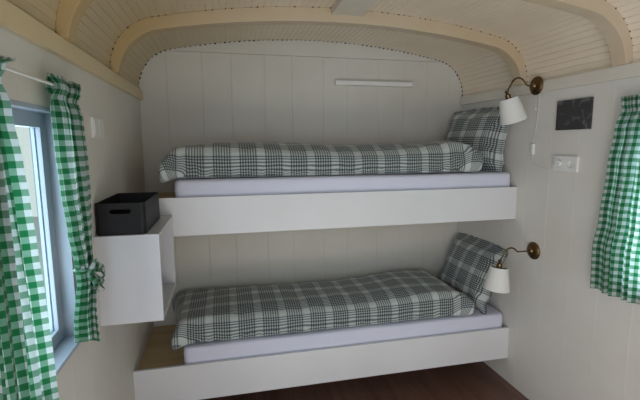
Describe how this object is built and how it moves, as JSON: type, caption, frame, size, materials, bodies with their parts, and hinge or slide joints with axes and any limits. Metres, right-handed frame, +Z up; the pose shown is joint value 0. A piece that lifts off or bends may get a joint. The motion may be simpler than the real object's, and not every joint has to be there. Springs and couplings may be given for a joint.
{
  "type": "shepherds hut bunk end section",
  "caption": "Bunk end of a shepherds hut: arched, bowed roof over boarded walls with windows, gingham curtains, a made-up double bunk, swivelling wall lamps and a shelf box.",
  "frame": {"origin": "middle of the whole section's footprint, on the level ground that the floor bearers stand on", "axes": "+X to the right when looking in at the open end, +Y from the open end towards the end wall with the bunks, +Z up"},
  "size_m": [2.521, 2.128, 2.3768],
  "materials": {
    "painted_boards": "satin",
    "outer_boards": "matte",
    "wall_framing": "matte",
    "cream_boards": "satin",
    "cream_bows": "satin",
    "ceiling_strip_paint": "satin",
    "roof_sheet": "satin",
    "floor_boards_stain": "satin",
    "bunk_paint": "satin",
    "bunk_timber": "matte",
    "sheet_cotton": "matte",
    "plaid_cotton": "matte",
    "window_paint": "satin",
    "window_glass": "gloss",
    "rod_metal": "satin",
    "gingham": "matte",
    "white_plastic": "gloss",
    "aged_brass": "satin",
    "shade_fabric": "matte",
    "shelf_paint": "satin",
    "black_plastic": "matte",
    "white_flex": "satin",
    "dark_print": "matte"
  },
  "bodies": {
    "hut": {"floor_bearers": "wall_framing", "floor_boards": "floor_boards_stain", "end_wall_lining": "painted_boards", "end_wall_frieze": "painted_boards", "end_wall_core": "wall_framing", "end_wall_cladding": "outer_boards", "side_wall_linings": "painted_boards", "side_wall_cores": "wall_framing", "side_wall_claddings": "outer_boards", "wall_cornices": "cream_bows", "roof_bows": "cream_bows", "ceiling_boards": "cream_boards", "ceiling_strip": "ceiling_strip_paint", "eaves_fillings": "wall_framing", "roof_covering": "roof_sheet", "bunk_cleats": "bunk_timber", "bunk_bases": "bunk_timber", "bunk_fronts": "bunk_paint", "mattresses": "sheet_cotton", "upper_duvet": "plaid_cotton", "lower_duvet": "plaid_cotton", "upper_pillow": "plaid_cotton", "lower_pillow": "plaid_cotton", "window_frames": "window_paint", "window_panes": "window_glass", "curtain_rods": "rod_metal", "left_far_curtain": "gingham", "left_near_curtain": "gingham", "right_far_curtain": "gingham", "right_near_curtain": "gingham", "strip_light": "white_plastic", "upper_lamp_arm": "aged_brass", "lower_lamp_arm": "aged_brass", "lamp_lead": "white_flex", "cord_switch": "white_plastic", "cord_plug": "white_plastic", "pull_string": "white_flex", "shelf_box": "shelf_paint", "basket": "black_plastic", "light_switch": "white_plastic", "double_socket": "white_plastic", "wall_picture": "dark_print"},
    "upper_lamp": {"upper_lamp_head": "aged_brass", "upper_lamp_shade": "shade_fabric"},
    "lower_lamp": {"lower_lamp_head": "aged_brass", "lower_lamp_shade": "shade_fabric"}
  },
  "joints": [
    {"name": "upper_lamp_tilt", "type": "hinge", "parent": "hut", "child": "upper_lamp", "pos_m": [0.9215, 0.141, 1.944], "axis": [0, -1, 0], "range_deg": [-60, 25]},
    {"name": "lower_lamp_tilt", "type": "hinge", "parent": "hut", "child": "lower_lamp", "pos_m": [0.9085, 0.105, 0.986], "axis": [0, -1, 0], "range_deg": [-40, 45]}
  ]
}
